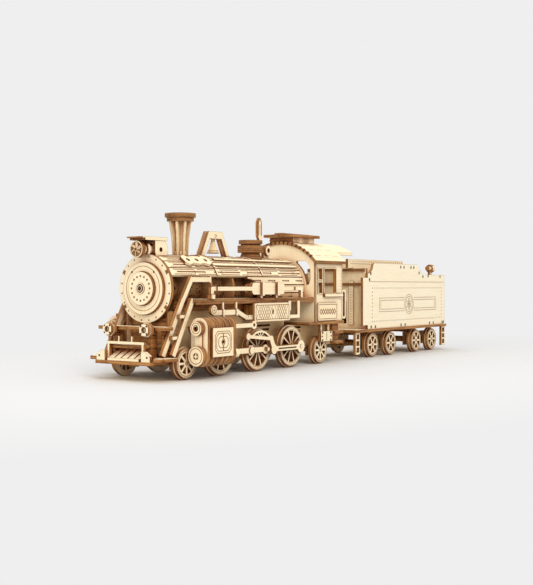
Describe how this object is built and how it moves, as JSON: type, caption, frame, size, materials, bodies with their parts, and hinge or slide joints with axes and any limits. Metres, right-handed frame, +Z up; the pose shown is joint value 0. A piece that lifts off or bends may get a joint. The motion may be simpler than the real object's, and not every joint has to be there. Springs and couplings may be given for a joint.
{
  "type": "wooden 3d jigsaw model",
  "caption": "Laser-cut plywood model of a steam locomotive with tender, with rolling wheels, moving side rods, a swinging bell and a tender that steers.",
  "frame": {"origin": "centre of the model at the level the wheels stand on", "axes": "+X from the front beam to the tender, +Y to the far side, +Z up"},
  "size_m": [0.37, 0.0804, 0.0998],
  "materials": {
    "ply_face": "raw basswood ply, sanded",
    "ply_edge": "laser-browned edges and laminations",
    "ply_dark": "raw ply in deep shade, laser-browned"
  },
  "bodies": {
    "locomotive": {"pilot_deck": "ply_face", "cowcatcher": "ply_face", "front_handrail": "ply_face", "footplate_wings": "ply_face", "buffer_beams": "ply_edge", "marker_lamps": "ply_face", "front_braces": "ply_face", "smokebox_ring": "ply_face", "smokebox_door": "ply_face", "headlight_body": "ply_face", "headlight_lens": "ply_dark", "chimney_column": "ply_face", "chimney_cap": "ply_edge", "bell_frame": "ply_face", "steam_dome": "ply_edge", "whistle": "ply_face", "boiler_formers": "ply_dark", "boiler_core": "ply_dark", "boiler_planks": "ply_face", "boiler_trim": "ply_face", "running_boards": "ply_edge", "frame_sides": "ply_face", "frame_spacers": "ply_dark", "upper_pipes": "ply_face", "lower_pipes": "ply_face", "lattice_boxes": "ply_face", "cylinder_blocks": "ply_edge", "cylinder_covers": "ply_face", "cylinder_panels": "ply_face", "valve_rods": "ply_face", "cab_front_wall": "ply_face", "cab_sides": "ply_face", "cab_panels": "ply_face", "cab_roof": "ply_face", "roof_hatch": "ply_edge", "cab_floor": "ply_edge", "cab_fittings": "ply_face"},
    "tender": {"drawbar": "ply_dark", "tender_floor": "ply_edge", "tender_sides": "ply_face", "tender_ends": "ply_face", "coal_bunker": "ply_face", "tender_fittings": "ply_face"},
    "bell": {"bell": "ply_face"},
    "pilot_wheels": {"pilot_wheelset": "ply_face"},
    "driver_1": {"driver_wheelset_1": "ply_face"},
    "driver_2": {"driver_wheelset_2": "ply_face"},
    "driver_3": {"driver_wheelset_3": "ply_face"},
    "trailing_wheels": {"trailing_wheelset": "ply_face"},
    "rods_left": {"side_rod_left": "ply_face"},
    "rods_right": {"side_rod_right": "ply_face"},
    "piston_left": {"piston_rod_left": "ply_face"},
    "piston_right": {"piston_rod_right": "ply_face"},
    "bogie_front": {"bogie_front": "ply_dark"},
    "bogie_rear": {"bogie_rear": "ply_dark"},
    "tender_wheels_1": {"tender_wheelset_1": "ply_face"},
    "tender_wheels_2": {"tender_wheelset_2": "ply_face"},
    "tender_wheels_3": {"tender_wheelset_3": "ply_face"},
    "tender_wheels_4": {"tender_wheelset_4": "ply_face"}
  },
  "joints": [
    {"name": "pilot_roll", "type": "hinge", "parent": "locomotive", "child": "pilot_wheels", "pos_m": [-0.1594, 0, 0.0096], "axis": [0, 1, 0], "continuous": true},
    {"name": "driver_1_roll", "type": "hinge", "parent": "locomotive", "child": "driver_1", "pos_m": [-0.1283, 0, 0.01405], "axis": [0, 1, 0], "continuous": true},
    {"name": "driver_2_roll", "type": "hinge", "parent": "locomotive", "child": "driver_2", "pos_m": [-0.0907, 0, 0.01405], "axis": [0, 1, 0], "continuous": true},
    {"name": "driver_3_roll", "type": "hinge", "parent": "locomotive", "child": "driver_3", "pos_m": [-0.0531, 0, 0.01405], "axis": [0, 1, 0], "continuous": true},
    {"name": "trailing_roll", "type": "hinge", "parent": "locomotive", "child": "trailing_wheels", "pos_m": [-0.0163, 0, 0.0096], "axis": [0, 1, 0], "continuous": true},
    {"name": "rods_left_turn", "type": "hinge", "parent": "driver_2", "child": "rods_left", "pos_m": [-0.0862, 0, 0.01405], "axis": [0, 1, 0], "continuous": true},
    {"name": "rods_right_turn", "type": "hinge", "parent": "driver_2", "child": "rods_right", "pos_m": [-0.0862, 0, 0.01405], "axis": [0, 1, 0], "continuous": true},
    {"name": "piston_left_slide", "type": "slide", "parent": "locomotive", "child": "piston_left", "axis": [1, 0, 0], "range_m": [-0.009, 0]},
    {"name": "piston_right_slide", "type": "slide", "parent": "locomotive", "child": "piston_right", "axis": [1, 0, 0], "range_m": [-0.009, 0]},
    {"name": "bell_swing", "type": "hinge", "parent": "locomotive", "child": "bell", "pos_m": [-0.1032, 0, 0.0854], "axis": [0, 1, 0], "range_deg": [-25, 25]},
    {"name": "tender_yaw", "type": "hinge", "parent": "locomotive", "child": "tender", "pos_m": [0.023, 0, 0.018], "axis": [0, 0, 1], "range_deg": [-5, 5]},
    {"name": "bogie_front_swivel", "type": "hinge", "parent": "tender", "child": "bogie_front", "pos_m": [0.0724, 0, 0.0206], "axis": [0, 0, 1], "range_deg": [-8, 8]},
    {"name": "bogie_rear_swivel", "type": "hinge", "parent": "tender", "child": "bogie_rear", "pos_m": [0.1449, 0, 0.0206], "axis": [0, 0, 1], "range_deg": [-8, 8]},
    {"name": "tender_roll_1", "type": "hinge", "parent": "bogie_front", "child": "tender_wheels_1", "pos_m": [0.058, 0, 0.0096], "axis": [0, 1, 0], "continuous": true},
    {"name": "tender_roll_2", "type": "hinge", "parent": "bogie_front", "child": "tender_wheels_2", "pos_m": [0.0868, 0, 0.0096], "axis": [0, 1, 0], "continuous": true},
    {"name": "tender_roll_3", "type": "hinge", "parent": "bogie_rear", "child": "tender_wheels_3", "pos_m": [0.1305, 0, 0.0096], "axis": [0, 1, 0], "continuous": true},
    {"name": "tender_roll_4", "type": "hinge", "parent": "bogie_rear", "child": "tender_wheels_4", "pos_m": [0.1593, 0, 0.0096], "axis": [0, 1, 0], "continuous": true}
  ],
  "couplings": [
    {"joint": "driver_3_roll", "follows": "driver_2_roll", "ratio": 1},
    {"joint": "rods_left_turn", "follows": "driver_2_roll", "ratio": -1},
    {"joint": "rods_right_turn", "follows": "driver_2_roll", "ratio": -1}
  ]
}
